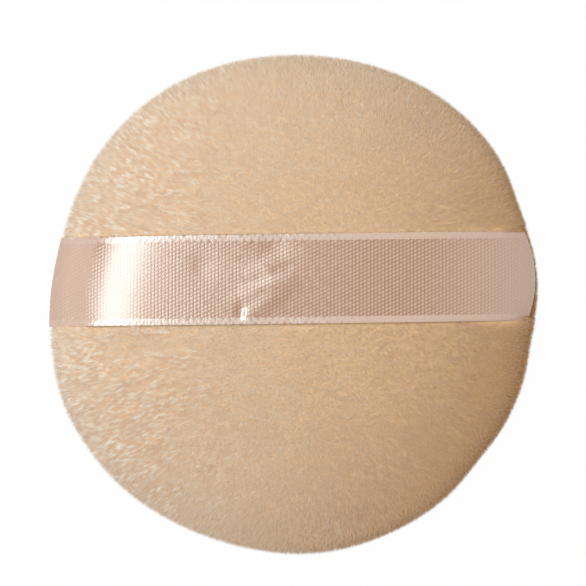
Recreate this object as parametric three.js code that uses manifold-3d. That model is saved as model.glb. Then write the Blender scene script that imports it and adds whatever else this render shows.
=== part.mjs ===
// Round velour powder puff with a satin ribbon finger band.
// Two plush covers are seamed edge to edge inside out, turned, filled with a foam disc and closed by hand.
// The ribbon's tails are caught in the edge seam, so the ribbon wraps the rim and lies across the back.
// Millimetres, +Z up. The powder face rests on z = 0, the ribbon runs along X, and the origin is
// under the middle of the rim.

import * as THREE from "three";
import { mergeGeometries, mergeVertices } from "three/addons/utils/BufferGeometryUtils.js";
import Module from "manifold-3d";

// Pad
const PUFF_DIAMETER = 85; // mean width across the rim
const FOAM_RISE = 7.9; // foam above the edge seam, at the middle
const FOAM_DROP = 5.6; // foam below the edge seam, at the middle
const PLUSH = 2.5; // ground cloth with its pile
const FACE_PRESS = 0.6; // how far its own weight flattens the face where it rests
const BACK_FULLNESS = 2.3; // exponent of the back's domed section: 2 is an ellipse, more is squarer
const FACE_FULLNESS = 2.6;
const SEAM_TUCK = 0.9; // how far the seam draws the rim in
const TUCK_SPREAD = 1.5; // height over which the rim is drawn in

// Rim lumps of a hand-filled pad: where, how far out (or in), and over what angle
const RIM_LUMPS = [
  { at: 23, out: -0.85, spread: 9 },
  { at: 50, out: 0.9, spread: 30 },
  { at: 120, out: 0.6, spread: 22 },
  { at: 166, out: -0.9, spread: 18 },
  { at: 203, out: 0.4, spread: 9 },
  { at: 220, out: 0.9, spread: 22 },
  { at: 275, out: 0.4, spread: 16 },
  { at: 319, out: -0.5, spread: 8 },
  { at: 340, out: -1.1, spread: 30 },
  { at: 351, out: -0.6, spread: 7 },
];

// Edge seam
const SEAM_ALLOWANCE = 4; // turned-in cloth, from the inside of the cover to its raw edge
const ALLOWANCE_THICKNESS = 0.8; // one layer of turned-in cloth with its pile crushed
const THREAD_DIAMETER = 0.4;
const STITCH_LENGTH = 6;
const LOOP_SLACK = 0.15; // stitch off the cloth that it goes round
const LOOP_SQUARENESS = 6; // 2 is an oval stitch, more is squarer
const LOOP_SLANT = 0.9; // share of each stitch's advance that is made round the raw edges, not in the needle hole
const NEEDLE_INSET = 1.8; // needle line to the inside of the cover
const CLOSING_LENGTH = 34; // stretch of rim left open for turning, then sewn up by hand
const CLOSING_AT = 270; // degrees round the rim from +X
const LADDER_STITCH = 4.5; // one run of the hand stitch inside a fold
const LADDER_DEPTH = 2.2; // hand stitch below the rim's surface
const LADDER_SPREAD = 1.2; // hand stitch above and below the seam

// Ribbon
const RIBBON_WIDTH = 15.4; // over the looped edges
const RIBBON_THICKNESS = 0.35;
const RIBBON_OFFSET = 4.3; // ribbon's middle line from the pad's middle, along Y
const RIBBON_SKEW = 0.0133; // ribbon sewn askew: its rise along Y for each unit along X
const RIBBON_FOLD = 0.7; // bend radius where the ribbon leaves the seam
const CREASE_REACH = 34.6; // crease where the tight ribbon turns down on the left, from the pad's middle
const CREASE_SLANT = 0.164; // crease further in for each unit along Y
const CREASE_BEND = 0.3; // extra fall of the ribbon just outside the crease
const CREASE_EASE = 0.1; // lesser fall of the ribbon just inside it
const CREASE_SPREAD = 3; // distance over which the ribbon comes back to the pile
const RIGHT_TUCK = 0.3; // right end drawn in from the rim

// Fits
const GAP = 0.3; // between pieces that touch
const THREAD_FIT = 0.25; // round a thread in its needle hole

// Fineness
const RIM_SEGMENTS = 48;
const OUTER_STEPS = 10;
const INNER_STEPS = 7;
const RIBBON_STEPS = 26;
const RIBBON_COLUMNS = 4;
const FOLD_STEPS = 4;
const TAIL_STEPS = 2;
const THREAD_SIDES = 5;
const STEPS_PER_STITCH = 8;

const SEAM_HEIGHT = FOAM_DROP + GAP + PLUSH;
const CROWN_RISE = FOAM_RISE + GAP + PLUSH;
const RIM_RADIUS = PUFF_DIAMETER / 2;
const INNER_RADIUS = RIM_RADIUS - PLUSH;
const RAW_EDGE = INNER_RADIUS - SEAM_ALLOWANCE;
const NEEDLE_LINE = INNER_RADIUS - NEEDLE_INSET;
const THREAD_RADIUS = THREAD_DIAMETER / 2;
const SEAM_HALF_GAP = GAP / 2;
const ALLOWANCE_TOP = SEAM_HALF_GAP + ALLOWANCE_THICKNESS;
const CLOSING_MIDDLE = THREE.MathUtils.degToRad(CLOSING_AT);
const CLOSING_SWEEP = CLOSING_LENGTH / RIM_RADIUS;
const SEAM_START = CLOSING_MIDDLE + CLOSING_SWEEP / 2;
const SEAM_SWEEP = 2 * Math.PI - CLOSING_SWEEP;
const STITCHES = Math.round((SEAM_SWEEP * NEEDLE_LINE) / STITCH_LENGTH);

const wasm = await Module();
wasm.setup();

// A closed geometry as a solid that can be cut, and back again.
function solidOf(geometry) {
  const bare = geometry.clone();
  bare.deleteAttribute("normal");
  bare.deleteAttribute("uv");
  const merged = mergeVertices(bare);
  const vertProperties = new Float32Array(merged.attributes.position.array);
  const triVerts = new Uint32Array(merged.index.array);
  return new wasm.Manifold(new wasm.Mesh({ numProp: 3, vertProperties, triVerts }));
}

function geometryOf(solid) {
  const { vertProperties, triVerts } = solid.getMesh();
  const geometry = new THREE.BufferGeometry();
  geometry.setAttribute("position", new THREE.BufferAttribute(vertProperties, 3));
  geometry.setIndex(new THREE.BufferAttribute(triVerts, 1));
  geometry.computeVertexNormals();
  return geometry;
}

function cut(geometry, ...tools) {
  const cleared = tools.reduce((left, tool) => left.subtract(solidOf(tool)), solidOf(geometry));
  return geometryOf(cleared);
}

// Radius of the lumpy rim at an angle, for a mean radius of RIM_RADIUS.
function rimRadius(angle) {
  const lump = ({ at, out, spread }) => {
    const away = angle - THREE.MathUtils.degToRad(at);
    const turn = Math.atan2(Math.sin(away), Math.cos(away));
    return out * Math.exp(-((turn / THREE.MathUtils.degToRad(spread)) ** 2));
  };
  return RIM_RADIUS + RIM_LUMPS.reduce((sum, each) => sum + lump(each), 0);
}

// Gives a round geometry the rim's lumps, in proportion to the distance from the axis.
function lumped(geometry) {
  const place = geometry.attributes.position;
  for (let i = 0; i < place.count; i++) {
    const scale = rimRadius(Math.atan2(place.getY(i), place.getX(i))) / RIM_RADIUS;
    place.setXY(i, place.getX(i) * scale, place.getY(i) * scale);
  }
  return geometry;
}

// Turns a profile of (radius, height) points about Z. The profile runs with its solid on the left.
function revolved(profile) {
  const geometry = new THREE.LatheGeometry(profile, RIM_SEGMENTS);
  return lumped(geometry.rotateX(Math.PI / 2));
}

// Half-width and height of a domed section at a turn from the rim (0) to the crown (a right angle).
function dome(turn, radius, height, fullness) {
  const power = 2 / fullness;
  return new THREE.Vector2(radius * Math.cos(turn) ** power, height * Math.sin(turn) ** power);
}

// The turn at which a dome reaches a given height.
function turnAt(level, height, fullness) {
  return Math.asin((level / height) ** (fullness / 2));
}

// Points of a dome from the turn where it reaches one level to the turn where it reaches another.
function domePoints(radius, height, fullness, fromLevel, toLevel, steps) {
  const first = turnAt(fromLevel, height, fullness);
  const last = turnAt(toLevel, height, fullness);
  return Array.from({ length: steps + 1 }, (_, i) => {
    const point = dome(first + ((last - first) * i) / steps, radius, height, fullness);
    return i === steps && toLevel === height ? point.setX(0) : point;
  });
}

// Half of the covering, from its crown round the rim to the seam, in along the turned-in cloth and back
// up the inside. Heights are measured from the seam, towards the crown.
function coverProfile({ height, flatLevel, innerHeight, fullness }) {
  const outer = domePoints(RIM_RADIUS, height, fullness, SEAM_HALF_GAP, flatLevel, OUTER_STEPS);
  for (const point of outer) {
    point.x = Math.max(0, point.x - SEAM_TUCK * Math.exp(-((point.y / TUCK_SPREAD) ** 2)));
  }
  if (flatLevel < height) outer.push(new THREE.Vector2(0, flatLevel));
  const inner = domePoints(INNER_RADIUS, innerHeight, fullness, ALLOWANCE_TOP, innerHeight, INNER_STEPS);
  const turnedIn = [
    new THREE.Vector2(RAW_EDGE, ALLOWANCE_TOP),
    new THREE.Vector2(RAW_EDGE, SEAM_HALF_GAP),
  ];
  return [...inner.reverse(), ...turnedIn, ...outer];
}

function backCover() {
  const profile = coverProfile({
    height: CROWN_RISE,
    flatLevel: CROWN_RISE,
    innerHeight: FOAM_RISE + GAP,
    fullness: BACK_FULLNESS,
  });
  return revolved(profile).translate(0, 0, SEAM_HEIGHT);
}

// The face is the same kind of cup turned over, pressed flat where it rests.
function faceCover() {
  const profile = coverProfile({
    height: SEAM_HEIGHT + FACE_PRESS,
    flatLevel: SEAM_HEIGHT,
    innerHeight: FOAM_DROP + GAP,
    fullness: FACE_FULLNESS,
  });
  const downwards = profile.map(({ x, y }) => new THREE.Vector2(x, SEAM_HEIGHT - y));
  return revolved(downwards.reverse());
}

// A point at a mean radius, an angle and a height, moved out or in with the rim's lumps.
function rimPoint(radius, angle, height) {
  const reach = (radius * rimRadius(angle)) / RIM_RADIUS;
  return new THREE.Vector3(reach * Math.cos(angle), reach * Math.sin(angle), height);
}

// Stitches round the turned-in cloth: up through the needle line, in over the cloth, round the raw edges
// and back underneath.
const LOOP_INNER = RAW_EDGE - GAP - LOOP_SLACK - THREAD_RADIUS;
const LOOP_RISE = ALLOWANCE_TOP + GAP + LOOP_SLACK + THREAD_RADIUS;

class OveredgeSeam extends THREE.Curve {
  steps = STITCHES * STEPS_PER_STITCH;

  getPoint(share, target = new THREE.Vector3()) {
    const turn = 2 * Math.PI * STITCHES * share;
    const advance = (turn - LOOP_SLANT * Math.sin(turn)) / (2 * Math.PI * STITCHES);
    const square = (value) => Math.sign(value) * Math.abs(value) ** (2 / LOOP_SQUARENESS);
    const middle = (NEEDLE_LINE + LOOP_INNER) / 2;
    const radius = middle + ((NEEDLE_LINE - LOOP_INNER) / 2) * square(Math.cos(turn));
    const height = SEAM_HEIGHT + LOOP_RISE * square(Math.sin(turn));
    return target.copy(rimPoint(radius, SEAM_START + SEAM_SWEEP * advance, height));
  }

  // Steps keep pace with the stitches, so each stitch has its steps at the same places.
  getUtoTmapping(share) {
    return share;
  }
}

function needleHoles() {
  const length = 2 * (ALLOWANCE_TOP + LOOP_SLACK);
  const holes = Array.from({ length: STITCHES + 1 }, (_, i) => {
    const { x, y, z } = rimPoint(NEEDLE_LINE, SEAM_START + (SEAM_SWEEP * i) / STITCHES, SEAM_HEIGHT);
    const radius = THREAD_RADIUS + THREAD_FIT;
    const hole = new THREE.CylinderGeometry(radius, radius, length, THREAD_SIDES);
    return hole.rotateX(Math.PI / 2).translate(x, y, z);
  });
  return mergeGeometries(holes);
}

// A hand stitch that runs inside one cover's fold, crosses the seam, runs inside the other's and crosses back.
function ladderSeam() {
  const radius = RIM_RADIUS - LADDER_DEPTH;
  const runs = Math.round(CLOSING_LENGTH / LADDER_STITCH);
  const first = CLOSING_MIDDLE - CLOSING_SWEEP / 2;
  const step = CLOSING_SWEEP / runs;
  const points = [];
  for (let run = 0; run < runs; run++) {
    const level = SEAM_HEIGHT + (run % 2 ? -LADDER_SPREAD : LADDER_SPREAD);
    for (const share of [0.12, 0.5, 0.88]) {
      points.push(rimPoint(radius, first + step * (run + share), level));
    }
  }
  const curve = new THREE.CatmullRomCurve3(points, false, "catmullrom", 0.3);
  curve.steps = points.length * 2;
  return curve;
}

function threadAlong(curve, radius) {
  const corner = (i) => {
    const turn = (2 * Math.PI * i) / THREAD_SIDES;
    return new THREE.Vector2(radius * Math.cos(turn), radius * Math.sin(turn));
  };
  const section = new THREE.Shape(Array.from({ length: THREAD_SIDES }, (_, i) => corner(i)));
  return new THREE.ExtrudeGeometry(section, { steps: curve.steps, extrudePath: curve, bevelEnabled: false });
}

// The foam disc fills the covers and closes round the turned-in cloth and its stitches.
function foamCore() {
  const radius = INNER_RADIUS - GAP;
  const grooveRadius = LOOP_INNER - THREAD_RADIUS - GAP;
  const grooveRise = LOOP_RISE + THREAD_RADIUS + GAP;
  const half = (height, fullness) =>
    domePoints(radius, height, fullness, grooveRise, height, INNER_STEPS);
  const upper = half(FOAM_RISE, BACK_FULLNESS);
  const lower = half(FOAM_DROP, FACE_FULLNESS).map(({ x, y }) => new THREE.Vector2(x, -y));
  const groove = [
    new THREE.Vector2(grooveRadius, -grooveRise),
    new THREE.Vector2(grooveRadius, grooveRise),
  ];
  return revolved([...lower.reverse(), ...groove, ...upper]).translate(0, 0, SEAM_HEIGHT);
}

// Y of a thread of the ribbon's length, which crosses the Y axis at a given place.
function threadY(across, x) {
  return across + RIBBON_SKEW * x;
}

// The rim's distance from the Y axis where such a thread meets it, on the right (side 1) or the left (side -1).
function rimReach(across, side) {
  let x = side * RIM_RADIUS;
  for (let pass = 0; pass < 5; pass++) {
    const y = threadY(across, x);
    x = side * Math.sqrt(rimRadius(Math.atan2(y, x)) ** 2 - y ** 2);
  }
  return Math.abs(x);
}

// Height of the back above the seam over a point of the plan.
function backHeight(x, y) {
  const share = Math.min(1, Math.hypot(x, y) / rimRadius(Math.atan2(y, x)));
  return CROWN_RISE * (1 - share ** BACK_FULLNESS) ** (1 / BACK_FULLNESS);
}

// How far the ribbon sinks in the pile on both sides of the left crease.
function creaseSink(x, across) {
  const past = -CREASE_REACH + CREASE_SLANT * (across - RIBBON_OFFSET) - x;
  const fall = past > 0 ? CREASE_BEND : CREASE_EASE;
  return fall * Math.abs(past) * Math.exp(-Math.abs(past) / CREASE_SPREAD);
}

// One thread of the ribbon's length: out through the seam, up round the rim, over the back with the
// ribbon's middle level with the pile but for its crease, and down into the seam on the other side.
function ribbonLine(across, tailExtra) {
  const foldTurn = turnAt(RIBBON_FOLD, CROWN_RISE, BACK_FULLNESS);
  const drawnIn = (side) => (side > 0 ? 1 - RIGHT_TUCK / RIM_RADIUS : 1);
  const end = (side) => {
    const wall = dome(foldTurn, rimReach(across, side), 1, BACK_FULLNESS).x * drawnIn(side);
    const tailEnd = rimReach(across, side) - PLUSH - SEAM_ALLOWANCE - tailExtra;
    const tail = Array.from({ length: TAIL_STEPS }, (_, i) => {
      return [side * (tailEnd + ((wall - RIBBON_FOLD - tailEnd) * i) / TAIL_STEPS), 0];
    });
    const fold = Array.from({ length: FOLD_STEPS }, (_, i) => {
      const turn = (Math.PI / 2) * (i / FOLD_STEPS);
      return [side * (wall - RIBBON_FOLD * (1 - Math.sin(turn))), RIBBON_FOLD * (1 - Math.cos(turn))];
    });
    return [...tail, ...fold];
  };
  const over = Array.from({ length: RIBBON_STEPS + 1 }, (_, i) => {
    const turn = foldTurn + (Math.PI - 2 * foldTurn) * (i / RIBBON_STEPS);
    const side = turn < Math.PI / 2 ? -1 : 1;
    const x = side * dome(Math.min(turn, Math.PI - turn), rimReach(across, side), 1, BACK_FULLNESS).x;
    return [x * drawnIn(side), backHeight(x, threadY(across, x)) - creaseSink(x, across)];
  });
  const points = [...end(-1), ...over, ...end(1).reverse()];
  return points.map(([x, z]) => new THREE.Vector3(x, threadY(across, x), SEAM_HEIGHT + z));
}

// A closed sheet of even thickness round a grid of middle points, rows along it and columns across.
function sheetSolid(rows, thickness) {
  const along = rows.length;
  const across = rows[0].length;
  const normal = (i, j) => {
    const ahead = rows[Math.min(i + 1, along - 1)][j].clone().sub(rows[Math.max(i - 1, 0)][j]);
    const aside = rows[i][Math.min(j + 1, across - 1)].clone().sub(rows[i][Math.max(j - 1, 0)]);
    return ahead.cross(aside).normalize();
  };
  const positions = [];
  for (const side of [thickness / 2, -thickness / 2]) {
    rows.forEach((row, i) =>
      row.forEach((point, j) => {
        positions.push(...point.clone().addScaledVector(normal(i, j), side));
      }),
    );
  }
  const corner = (side, i, j) => side * along * across + i * across + j;
  const index = [];
  const quad = (a, b, c, d) => index.push(a, b, c, a, c, d);
  for (let i = 0; i + 1 < along; i++) {
    for (let j = 0; j + 1 < across; j++) {
      quad(corner(0, i, j), corner(0, i + 1, j), corner(0, i + 1, j + 1), corner(0, i, j + 1));
      quad(corner(1, i, j), corner(1, i, j + 1), corner(1, i + 1, j + 1), corner(1, i + 1, j));
    }
    quad(corner(0, i + 1, 0), corner(0, i, 0), corner(1, i, 0), corner(1, i + 1, 0));
    const last = across - 1;
    quad(corner(0, i, last), corner(0, i + 1, last), corner(1, i + 1, last), corner(1, i, last));
  }
  for (let j = 0; j + 1 < across; j++) {
    quad(corner(0, 0, j), corner(0, 0, j + 1), corner(1, 0, j + 1), corner(1, 0, j));
    const end = along - 1;
    quad(corner(0, end, j + 1), corner(0, end, j), corner(1, end, j), corner(1, end, j + 1));
  }
  const geometry = new THREE.BufferGeometry();
  geometry.setAttribute("position", new THREE.Float32BufferAttribute(positions, 3));
  geometry.setIndex(index);
  geometry.computeVertexNormals();
  return geometry;
}

// The ribbon, or with a clearance the room that it needs in the covers.
function ribbonBand(clearance = 0) {
  const width = RIBBON_WIDTH + 2 * clearance;
  const lines = Array.from({ length: RIBBON_COLUMNS + 1 }, (_, j) => {
    return ribbonLine(RIBBON_OFFSET + width * (j / RIBBON_COLUMNS - 0.5), clearance);
  });
  const rows = lines[0].map((_, i) => lines.map((line) => line[i]));
  return sheetSolid(rows, RIBBON_THICKNESS + 2 * clearance);
}

const velour = { color: 0xd4b796, roughness: 0.95, metalness: 0 };
const satin = { color: 0xd9b8a2, roughness: 0.35, metalness: 0 };
const foam = { color: 0xf2e6d2, roughness: 0.9, metalness: 0 };
const cotton = { color: 0xe0c6a8, roughness: 0.7, metalness: 0 };

const puff = new THREE.Group();
function add(name, geometry, finish) {
  const mesh = new THREE.Mesh(geometry, new THREE.MeshStandardMaterial(finish));
  mesh.name = name;
  puff.add(mesh);
}

const overedge = new OveredgeSeam();
const ladder = ladderSeam();
const machineHoles = needleHoles();
const handHoles = threadAlong(ladder, THREAD_RADIUS + THREAD_FIT);
const ribbonRoom = ribbonBand(GAP);

add("back_cover", cut(backCover(), ribbonRoom, machineHoles, handHoles), velour);
add("face_cover", cut(faceCover(), ribbonRoom, machineHoles, handHoles), velour);
add("foam_core", foamCore(), foam);
add("ribbon_band", cut(ribbonBand(), machineHoles), satin);
add("seam_thread", threadAlong(overedge, THREAD_RADIUS), cotton);
add("closing_thread", threadAlong(ladder, THREAD_RADIUS), cotton);

export default puff;
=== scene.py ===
"""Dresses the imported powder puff: velour covers with a real pile, a foam disc, a satin ribbon and thread.

The frame is loaded first and every piece is made in its axes, in metres: the powder face rests on z = 0,
the ribbon runs along X and lies across the back, and light comes from -X.
"""

import math
from typing import NamedTuple

import bmesh
import bpy
from bpy.props import FloatProperty, FloatVectorProperty, IntProperty, PointerProperty
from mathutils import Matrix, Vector, noise
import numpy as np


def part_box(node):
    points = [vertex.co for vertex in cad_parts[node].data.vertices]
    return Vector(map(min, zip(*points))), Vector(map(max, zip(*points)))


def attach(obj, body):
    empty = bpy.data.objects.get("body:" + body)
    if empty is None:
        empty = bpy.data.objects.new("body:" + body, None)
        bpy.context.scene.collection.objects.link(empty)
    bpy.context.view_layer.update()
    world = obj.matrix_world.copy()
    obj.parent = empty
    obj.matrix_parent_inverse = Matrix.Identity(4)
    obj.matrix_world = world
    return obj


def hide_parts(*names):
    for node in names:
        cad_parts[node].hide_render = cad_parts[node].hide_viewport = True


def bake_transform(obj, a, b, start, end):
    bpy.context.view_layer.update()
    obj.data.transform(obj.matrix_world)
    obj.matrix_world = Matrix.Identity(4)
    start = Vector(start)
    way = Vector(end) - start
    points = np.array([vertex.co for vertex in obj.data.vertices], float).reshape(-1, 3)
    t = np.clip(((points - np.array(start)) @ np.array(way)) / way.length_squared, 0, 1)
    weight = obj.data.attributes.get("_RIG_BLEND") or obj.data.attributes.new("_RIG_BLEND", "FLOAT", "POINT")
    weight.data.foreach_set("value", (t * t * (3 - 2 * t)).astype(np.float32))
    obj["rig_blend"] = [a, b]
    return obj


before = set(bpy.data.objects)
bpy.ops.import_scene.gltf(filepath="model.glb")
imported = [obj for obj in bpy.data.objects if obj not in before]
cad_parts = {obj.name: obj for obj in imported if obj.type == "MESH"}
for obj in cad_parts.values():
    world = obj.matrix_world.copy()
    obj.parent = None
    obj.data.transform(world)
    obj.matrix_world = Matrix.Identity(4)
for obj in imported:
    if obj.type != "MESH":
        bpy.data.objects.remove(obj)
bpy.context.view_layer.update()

bl_info = {
    "name": "Powder puff",
    "version": (1, 0, 0),
    "blender": (4, 5, 0),
    "location": "3D View > Sidebar > Puff",
    "description": "Velour powder puff with a foam core and a satin ribbon finger band",
    "category": "Add Mesh",
}

MM = 0.001
TINY = 0.001 * MM
BAKE_MAP = "OFBake"

RIBBON_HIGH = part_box("ribbon_band")[1]
FACE_LOW, FACE_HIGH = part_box("face_cover")
SEAM = (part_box("back_cover")[0].z + FACE_HIGH.z) / 2

# The rim's lumps, as the solids have them: degrees round from +X, millimetres out, degrees of spread
RIM_LUMPS = (
    (23, -0.85, 9),
    (50, 0.9, 30),
    (120, 0.6, 22),
    (166, -0.9, 18),
    (203, 0.4, 9),
    (220, 0.9, 22),
    (275, 0.4, 16),
    (319, -0.5, 8),
    (340, -1.1, 30),
    (351, -0.6, 7),
)

# The back's soft unevenness, which comes in above the seam
UNEVEN_WIDTH = 11 * MM
UNEVEN_HEIGHT = 0.16 * MM
UNEVEN_ABOVE_SEAM = 3 * MM

# The ribbon's seat in the back, which it draws in at its right end. A run is a start along X and a length
SEAT_DEPTH = 0.25 * MM
SEAT_SOFTNESS = 1.6 * MM
SEAT_INSET = 0.8 * MM
SEAT_DRAW = 1.2 * MM
SEAT_DRAW_RUN = (28 * MM, 10 * MM)

# Pieces of pile round each cover
ZONES = 5

# How the pile leans: outwards at the rim, combed one way, and away from the ribbon beside it
RIM_LEAN = 0.3
COMBED_LEAN = Vector((-0.2, 0.05, 0.0))
RIBBON_LEAN = 0.1
RIBBON_LEAN_OVER = 2.4 * MM

# Shares by which the pile is shorter and thinner under the ribbon
PRESSED_SHORTER = 0.8
PRESSED_THINNER = 0.45
PRESSED_SOFTNESS = 0.2 * MM

# Where the ribbon's right end gathers the pile of both covers, denser and shorter
GATHERED_RUN = (35 * MM, 4 * MM)
GATHERED_SOFTNESS = 2 * MM
GATHERED_SHORTER = 0.25

# A tuft of the face is cut at the floor as if it reached down by this share of itself at least
LEAST_REACH = 0.3

# How ruffled the pile is, and how much more towards the left, which also sets how strongly the streaks are
# painted paler as sheen
RUFFLE = 0.3
LEFT_RUFFLE = 1.2
LEFT_RUN = (-8 * MM, -22 * MM)

# Tints of the tufts, from 0 for the reddest to 1 for the palest; the run is in shares of the rim's radius.
# Painted shade: tufts redder at the rim on the side away from the light, and a little redder towards the left
MOST_TINT = 0.42
LEFT_REDDER = 0.06
RIM_SHADE = 0.5
RIM_SHADE_RUN = (0.4, 0.5)
SHADED_SIDE = Vector((math.cos(math.radians(20)), -math.sin(math.radians(20))))

# Streaks in the pile, drawn out along X and fanned out towards the left for each metre along X; their paler
# tufts are painted sheen
DRAWN_OUT = 0.28
FAN = 12.0
CLUMP_WIDTH = 1.4 * MM
STREAK_WIDTH = 0.4 * MM
STREAK_TONE_AND_SHEEN = 2.6

# The patches that streaks come in: their width, and the gain and base of their strength
PATCH_WIDTH = 3.5 * MM
PATCH_STRENGTH = (3.0, -0.6)

# What each tuft has of its own: straying from the lay, share of the full height, and tint
TUFT_STRAY = 0.2
TUFT_HEIGHTS = (0.9, 1.06)
TUFT_TINT = 0.07

# What turns a tuft's shading from the cloth's: shares of its flank and of its straying, and a lift
FLANK_SHADE = 0.3
STRAY_SHADE = 0.75
SHADE_LIFT = (0.0, 0.0, 0.18)

# A tuft's share of the bake map's width, its margin along V and its flanks' inset along U
TUFT_COLUMN = 1 / 64
TUFT_MARGIN = 0.02
FLANK_INSET = 0.1

# The soft gloss of the pile and its ground cloth
VELOUR_GLOSS = {
    "Roughness": 1.0,
    "IOR": 1.6,
    "Specular_IOR_Level": 0.47,
    "Sheen_Weight": 0.18,
    "Sheen_Roughness": 0.5,
    "Sheen_Tint": (1.0, 0.95, 0.88, 1),
}

# The ribbon's middle line, and how it rises along Y for each unit along X
RIBBON_OFFSET = 4.3 * MM
RIBBON_SKEW = 0.0133

# Slack creases in the ribbon: the ends of each in millimetres, its half-width and its height
RIBBON_CREASES = (
    ((-8.2, -2.3), (-0.5, 2.8), 1.4, 0.3),
    ((-9.2, 1.0), (-0.5, 4.7), 1.4, 0.28),
    ((-9.8, 4.6), (-0.5, 7.3), 1.4, 0.23),
    ((-8.9, -2.8), (-8.5, -0.3), 0.8, -0.28),
    ((-5.5, 10.2), (-0.6, 9.8), 1.8, -0.3),
    ((-15.5, 4.0), (-15.0, 8.5), 2.0, -0.2),
)

# The crease where the ribbon turns down on the left, how its upper part bends, and how the ribbon sinks
CREASE_AT = -34.9 * MM
CREASE_BEND = 18.5
CREASE_BEND_FROM = 4 * MM
CREASE_SOFTNESS = 0.7 * MM
CREASE_DEPTH = 0.15 * MM
CREASE_FALL = 0.3
CREASE_INSIDE = 4 * MM
CREASE_OUTSIDE = 9 * MM

# How far the ribbon's right end is tucked in: at its middle, more at its corners, less at the upper one
RIGHT_TUCK = 0.8 * MM
CORNER_TUCK = 0.5 * MM
UPPER_TUCK = -0.3 * MM

# How the satin's rows of floats climb for each unit along the ribbon, and the powers that round them
ROW_SLANT = 0.437
FLOAT_POWERS = (0.9, 0.8)
RELIEF_POWER = 0.6

# Half-width of the threads that zigzag in the selvedge, as a share of it
LOOP_REACH = 0.75

# Uneven spots in the weave: their gain and base in the floats and loops, and the picks they shift loops by
SPOT_WIDTH = 0.9 * MM
FLOAT_SPOTS = (0.9, 0.55)
LOOP_SPOTS = (1.6, 0.2)
LOOP_SHIFT = 2.0
LOOP_RELIEF = (0.7, 0.3)

# Where along the ribbon from its left tail a flat painted sheen covers it over each rim, and up to where it
# doesn't; on the left only a share of it
LEFT_SHEEN_RUN = (15 * MM, 17.5 * MM)
RIGHT_SHEEN_RUN = (94 * MM, 71 * MM)
LEFT_SHEEN_SHARE = 0.75

# The same kind of run for its edge loops, which lie calm towards the right
CALM_RIGHT = (64 * MM, 46 * MM)
CALMNESS = 0.8
CALM_LOOP = 0.58

# Where floats stand slack and are painted lighter as a glint: along the ribbon from its left tail and across
# it, half that patch's length and width, its turn and its spots
SLACK_AT = (46.0 * MM, 8.3 * MM)
SLACK_REACH = (8 * MM, 3.4 * MM)
SLACK_TURN = math.radians(30)
SLACK_SPOT_WIDTH = 2.2 * MM
SLACK_SPOTS = (0.6, 0.35)


def length(name, description, millimetres):
    return FloatProperty(
        name=name, description=description, default=millimetres * MM, subtype="DISTANCE", unit="LENGTH"
    )


def colour(name, description, default):
    return FloatVectorProperty(
        name=name, description=description, default=default, size=3, subtype="COLOR", min=0, max=1
    )


class PuffSizes(bpy.types.PropertyGroup):
    """Sizes of the puff's pieces"""

    rim_radius: length("Rim radius", "Mean radius of the pad at its rim", 42.5)
    back_fullness: FloatProperty(name="Back fullness", description="Squareness of its dome", default=2.3)
    face_fullness: FloatProperty(name="Face fullness", description="Squareness of its dome", default=2.6)
    face_press: length("Face press", "How far the face is flattened where it rests", 0.6)
    seam_tuck: length("Seam tuck", "How far the seam draws the rim in", 0.9)
    tuck_spread: length("Tuck spread", "Height over which the rim is drawn in", 1.5)
    pile: length("Pile", "Length of the velour pile", 1.25)
    pile_depth: length("Pile depth", "From the pile's tips down to the ground cloth", 0.5)
    ground: length("Ground", "Thickness of the cloth under the pile", 2.0)
    allowance: length("Seam allowance", "Cloth turned in at the seam", 4)
    allowance_thickness: length("Allowance thickness", "One layer of turned-in cloth", 0.8)
    seam_gap: length("Seam gap", "Between the two covers at the seam", 0.3)
    strand_width: length("Strand width", "Width of a tuft of pile at its root", 0.1)
    back_strands: FloatProperty(name="Back strands", description="Tufts on each square mm", default=30)
    face_strands: FloatProperty(name="Face strands", description="Tufts on each square mm", default=22)
    ribbon_width: length("Ribbon width", "Width of the ribbon over its looped edges", 15.4)
    ribbon_thickness: length("Ribbon thickness", "Thickness of the ribbon", 0.35)
    ribbon_fold: length("Ribbon fold", "Bend radius where the ribbon leaves the seam", 0.7)
    pick: length("Pick", "Weave pitch along the ribbon", 0.61)
    row: length("Row", "Weave pitch across the ribbon", 0.64)
    float_height: length("Float height", "Relief of the weave", 0.006)
    cord: length("Cord", "Height of the cord along each edge of the ribbon", 0.045)
    scallop: length("Scallop", "How far the edge loops stand in and out", 0.12)
    selvedge: length("Selvedge", "Width of the ribbon's woven edge", 1.25)
    foam_cell: length("Foam cell", "Mean width of an open cell", 0.9)
    seed: IntProperty(name="Seed", description="Starts the pile's random places", default=7)


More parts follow.
